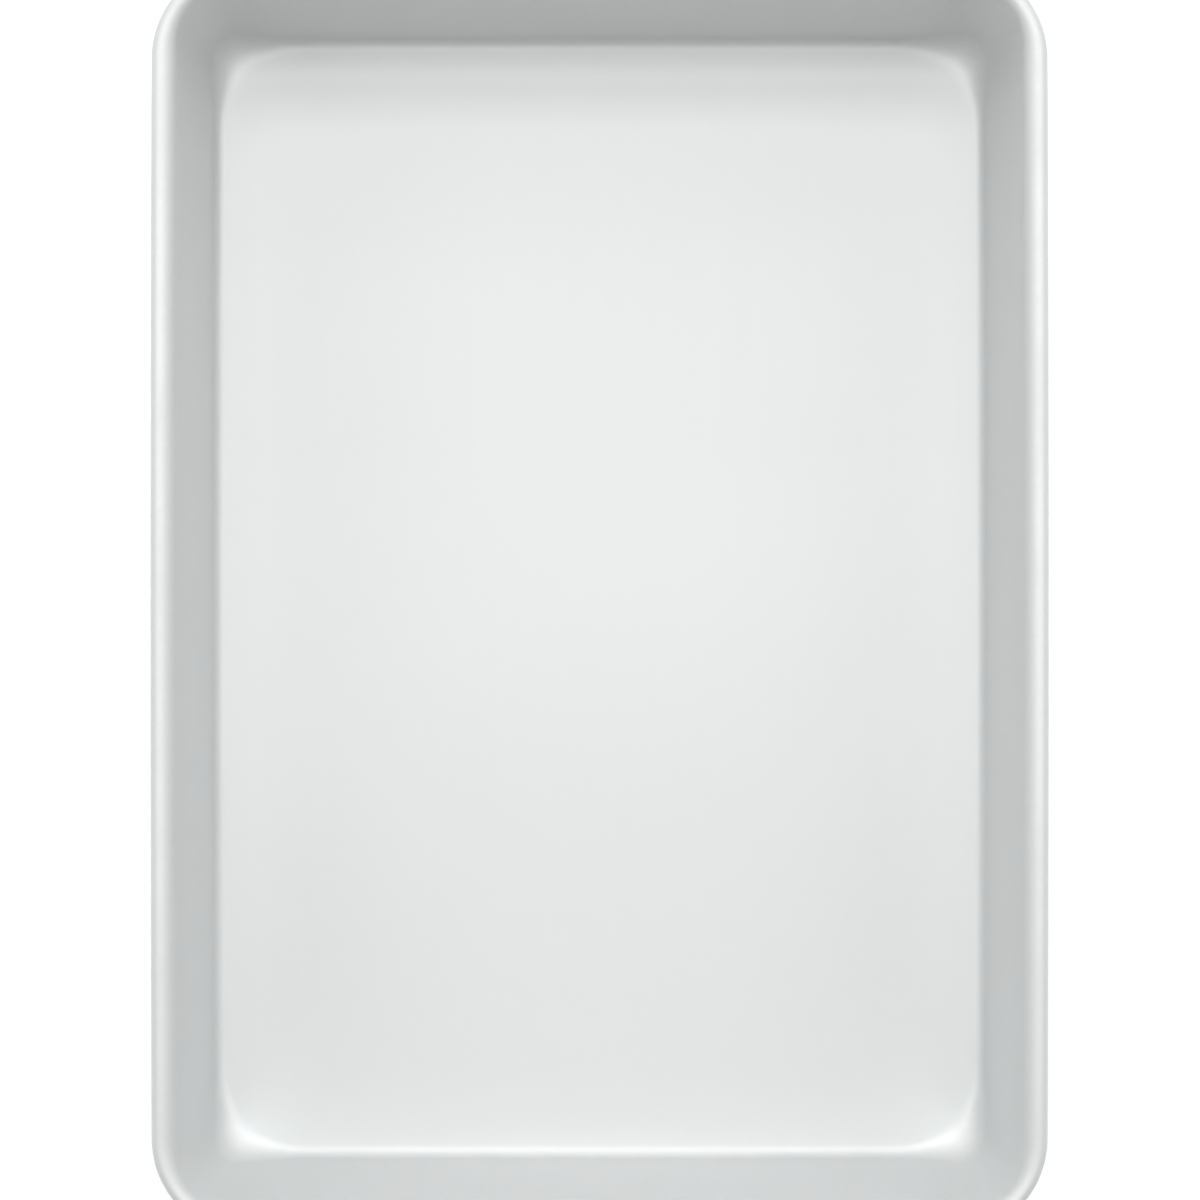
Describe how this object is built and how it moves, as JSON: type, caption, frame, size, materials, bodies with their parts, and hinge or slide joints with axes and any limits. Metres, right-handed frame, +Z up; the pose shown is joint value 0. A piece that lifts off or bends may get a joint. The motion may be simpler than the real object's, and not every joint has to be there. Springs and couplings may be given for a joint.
{
  "type": "rectangular cake pan",
  "caption": "Rectangular aluminium cake pan with straight walls, rounded corners and a rim rolled outward round a wire, for baking a sheet cake.",
  "frame": {"origin": "middle of the underside, on the surface that the pan stands on", "axes": "+Z up out of the open top, +Y along the long walls, +X along the short walls"},
  "size_m": [0.2412, 0.3428, 0.0516],
  "materials": {
    "satin_aluminium": "satin anodised",
    "drawn_wire": "drawn, bare"
  },
  "bodies": {
    "root": {"pan_body": "satin_aluminium", "rim_wire": "drawn_wire"}
  },
  "joints": []
}
